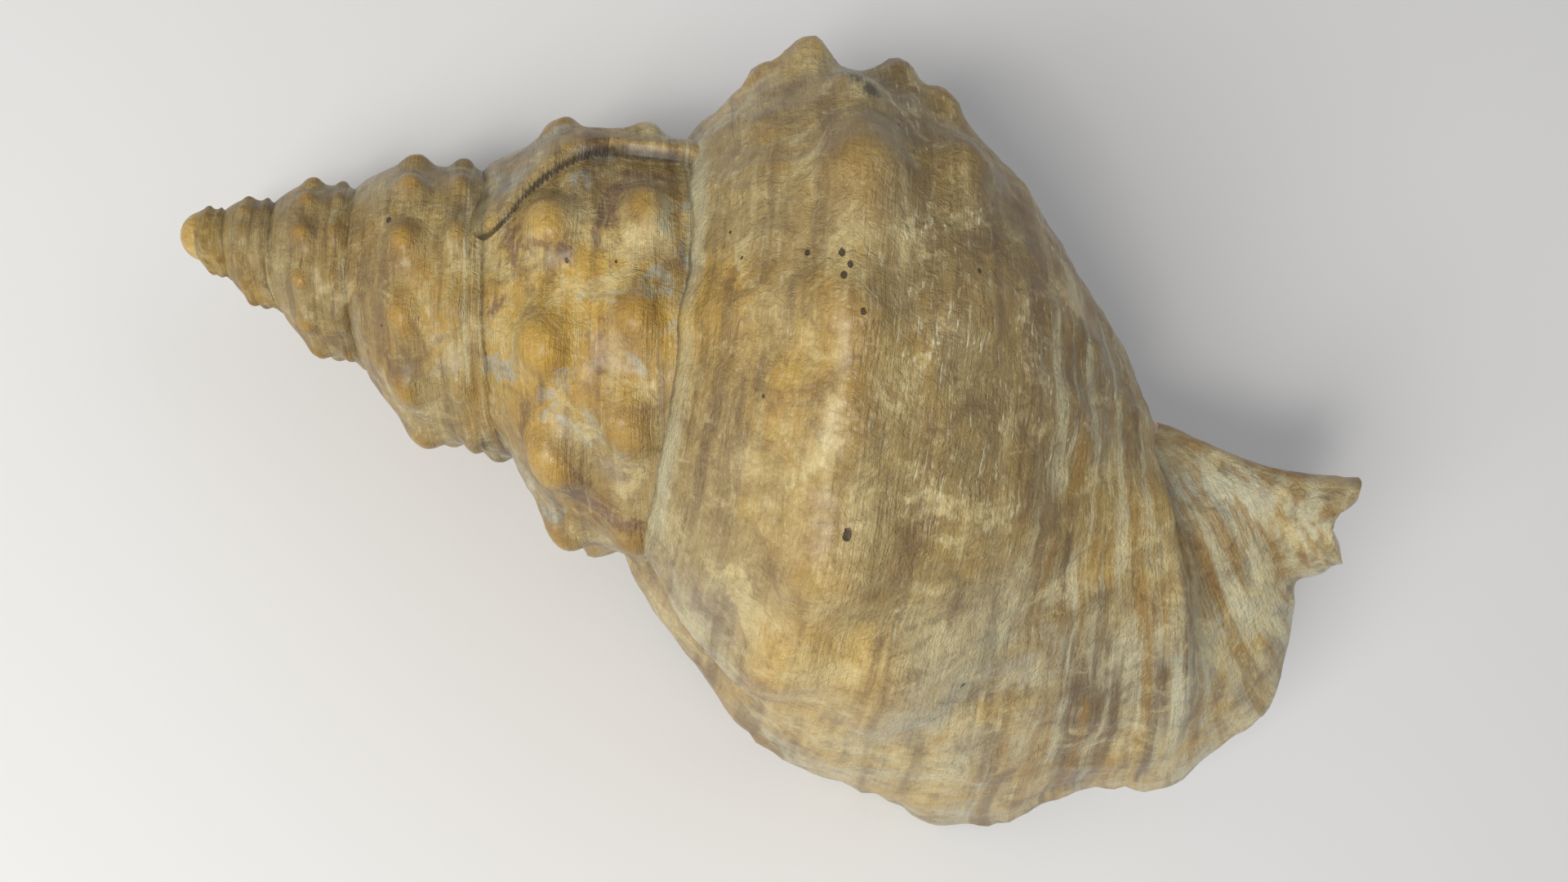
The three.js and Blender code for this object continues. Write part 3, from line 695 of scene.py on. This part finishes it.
# all the colours over one another, then the inside's lining, the bump and the gloss
def wornShellMaterial():
    paint = Paint("wornShellSurface")
    on = ShellFields(paint)
    colour = streakColours(paint, on, lipColours(paint, on, groundColours(paint, on)))
    colour = reliefColours(paint, on, colour)
    pit = paint.step(nearestSpot(paint, on, "pits"), 1.15, 0.75)
    colour = paint.blend(pit * 0.88, colour, tint["pit"])
    stain = paint.step(nearestSpot(paint, on, "stains") + (on.dash - 0.5) * 2.0, 1.3, 0.5)
    colour = paint.blend(stain * 0.8, colour, tint["stain"])

    # the inside: smooth cream, warmer deeper in
    lining = paint.blend(on.zone("deep", "growth"), tint["insideCream"], tint["insideRose"])
    lining = paint.blend(paint.step(on.patch, 0.5, 0.7) * 0.3, lining, tint["ochre"])
    colour = paint.blend(paint.step(on.inside, 0.55, 0.95), colour, lining)

    # leathery wrinkles, growth lines and pits as relief; the knobs and the inside are the glossiest
    height = on.wrinkle * 0.8 + on.streak * 0.5 + on.dash * 0.35 - pit * 1.2
    height = height * (1.0 - on.inside * 0.85)
    normal = paint.node("ShaderNodeBump", sockets={
        "Height": height, "Distance": wornShell["bumpHeight"], "Strength": wornShell["bumpStrength"]})
    smoothest, roughest = wornShell["roughness"]
    rough = paint.node("ShaderNodeMapRange", sockets={
        0: on.patch, 1: 0.3, 2: 0.7, 3: smoothest, 4: roughest})
    rough = rough - on.inside * 0.1 - paint.step(on.knobTip, 0.3, 0.9) * 0.08
    surface = paint.node("ShaderNodeBsdfPrincipled", sockets={
        "Base Color": colour, "Roughness": rough, "Normal": normal, "Coat Weight": wornShell["coat"],
        "Coat Roughness": wornShell["coatRoughness"]})
    paint.node("ShaderNodeOutputMaterial", sockets={"Surface": surface})
    return paint.material


shell.data.materials.append(wornShellMaterial())
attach(shell, "root")
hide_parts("shell")
print("shell material made")

# lights: place, power, width, colour
studio = {"floorSize": 30.0, "floorColour": "DCDCDC", "floorRoughness": 0.9, "floorShine": 0.1, "sky": 0.34,
          "lightsAim": (0, 0, 0.05),
          "lights": [((-0.44, -0.52, 0.62), 5.1, 0.4, "FFFDF9"), ((0.6, 0.4, 0.8), 1.6, 0.9, "F4F6FF"),
                     ((-0.3, -0.46, 0.85), 3.0, 0.16, "FFFCF6")]}


# a square pale floor at the level the shell rests on, square lamps that face the shell, and an even sky
def buildStudio():
    half = studio["floorSize"] / 2
    mesh = bpy.data.meshes.new("paleFloor")
    corners = [(-half, -half, 0), (half, -half, 0), (half, half, 0), (-half, half, 0)]
    mesh.from_pydata(corners, [], [(0, 1, 2, 3)])
    floor = bpy.data.objects.new("paleFloor", mesh)
    bpy.context.collection.objects.link(floor)
    paint = Paint("paleFloorPaint")
    surface = paint.node("ShaderNodeBsdfPrincipled", sockets={
        "Base Color": linear(studio["floorColour"]), "Roughness": studio["floorRoughness"],
        "Specular IOR Level": studio["floorShine"]})
    paint.node("ShaderNodeOutputMaterial", sockets={"Surface": surface})
    mesh.materials.append(paint.material)
    for i, (spot, power, size, colour) in enumerate(studio["lights"]):
        lamp = bpy.data.lights.new("softbox%d" % i, "AREA")
        lamp.energy, lamp.size, lamp.color = power, size, linear(colour)[:3]
        holder = bpy.data.objects.new("softbox%d" % i, lamp)
        holder.location = spot
        aim = Vector(studio["lightsAim"]) - Vector(spot)
        holder.rotation_euler = aim.to_track_quat("-Z", "Y").to_euler()
        bpy.context.collection.objects.link(holder)
    world = bpy.data.worlds.new("paleSky")
    world.use_nodes = True
    world.node_tree.nodes["Background"].inputs[0].default_value = (1, 1, 1, 1)
    world.node_tree.nodes["Background"].inputs[1].default_value = studio["sky"]
    bpy.context.scene.world = world


# lengths in mm and angles in degrees in the coil's own frame; the pivot is a place along the axis
view = {"distance": 320.0, "focal": 37.5, "sensor": 36.0, "nearest": 0.01, "axisTurn": 11.0,
        "apexRise": 2.0, "pivot": 116.8, "pivotX": -0.55, "pivotY": 18.03}


# the camera faces the shell's back: its axes and its eye are laid down with the shell
def placeCamera():
    turn, rise = math.radians(view["axisTurn"]), math.radians(view["apexRise"])
    alongAxis = np.array([math.cos(rise), 0, math.sin(rise)])
    across = np.array([0, 1.0, 0])
    right = math.cos(turn) * alongAxis + math.sin(turn) * across
    up = -math.sin(turn) * alongAxis + math.cos(turn) * across
    back = np.array([-math.sin(rise), 0, math.cos(rise)])
    eye = np.array([view["pivot"], 0, 0]) - right * view["pivotX"] - up * view["pivotY"]
    eye = eye + back * view["distance"]
    axes = restOnFloor(np.stack([right, up, back]))
    eye = restOnFloor(eye[None])[0] * mm + shift
    placed = Matrix([[axes[j][i] for j in range(3)] for i in range(3)]).to_4x4()
    placed.translation = eye
    lens = bpy.data.cameras.new("backView")
    lens.sensor_width, lens.lens = view["sensor"], view["focal"]
    lens.clip_start = view["nearest"]
    camera = bpy.data.objects.new("backView", lens)
    camera.matrix_world = placed
    bpy.context.collection.objects.link(camera)
    bpy.context.scene.camera = camera


buildStudio()
placeCamera()
bpy.context.scene.view_settings.view_transform = "Standard"
print("studio and camera placed")
